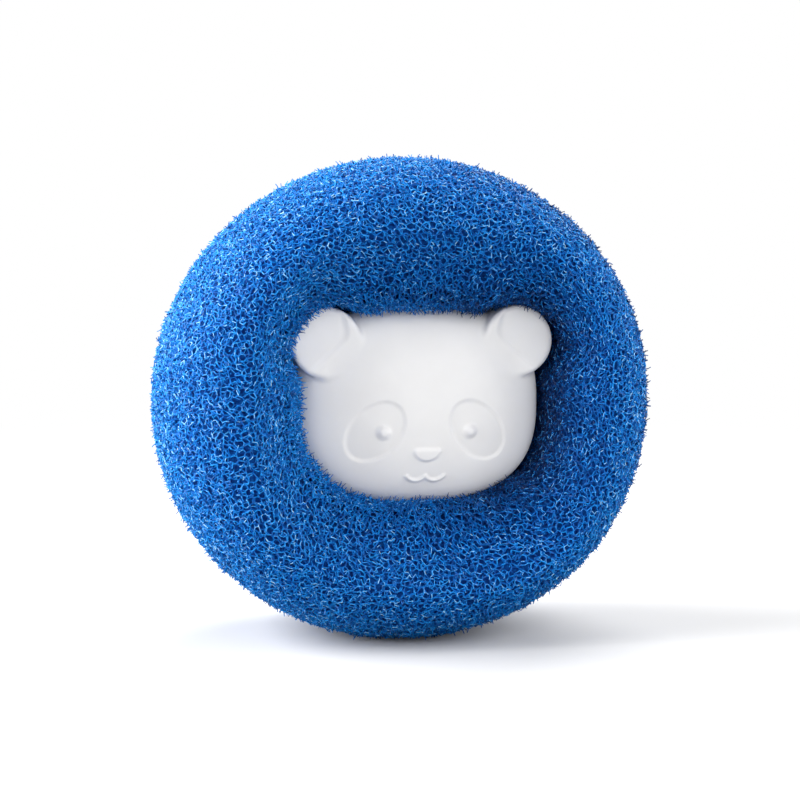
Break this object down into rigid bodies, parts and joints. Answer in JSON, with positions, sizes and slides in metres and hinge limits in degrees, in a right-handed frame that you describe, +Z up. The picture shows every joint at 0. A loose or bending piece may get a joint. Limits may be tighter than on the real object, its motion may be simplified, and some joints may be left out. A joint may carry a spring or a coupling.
{
  "type": "sponge laundry ball",
  "caption": "Ring of blue open-cell foam pinched between white moulded animal heads that push together through its middle; tumbles in a washing machine to catch lint and hair.",
  "frame": {"origin": "middle of the ball's outline on the surface that it stands on, halfway between front and back", "axes": "+Z up; the front head faces -Y; +X is to the right of someone who faces the front head"},
  "size_m": [0.101, 0.058, 0.0975],
  "materials": {
    "foam": "matte",
    "front_plastic": "satin",
    "rear_plastic": "satin"
  },
  "bodies": {
    "sponge_body": {"sponge": "foam"},
    "front_clasp": {"front_head": "front_plastic"},
    "rear_clasp": {"rear_head": "rear_plastic"}
  },
  "joints": [
    {"name": "front_pull", "type": "slide", "parent": "sponge_body", "child": "front_clasp", "axis": [0, -1, 0], "range_m": [0, 0.04]},
    {"name": "rear_pull", "type": "slide", "parent": "sponge_body", "child": "rear_clasp", "axis": [0, 1, 0], "range_m": [0, 0.04]}
  ]
}
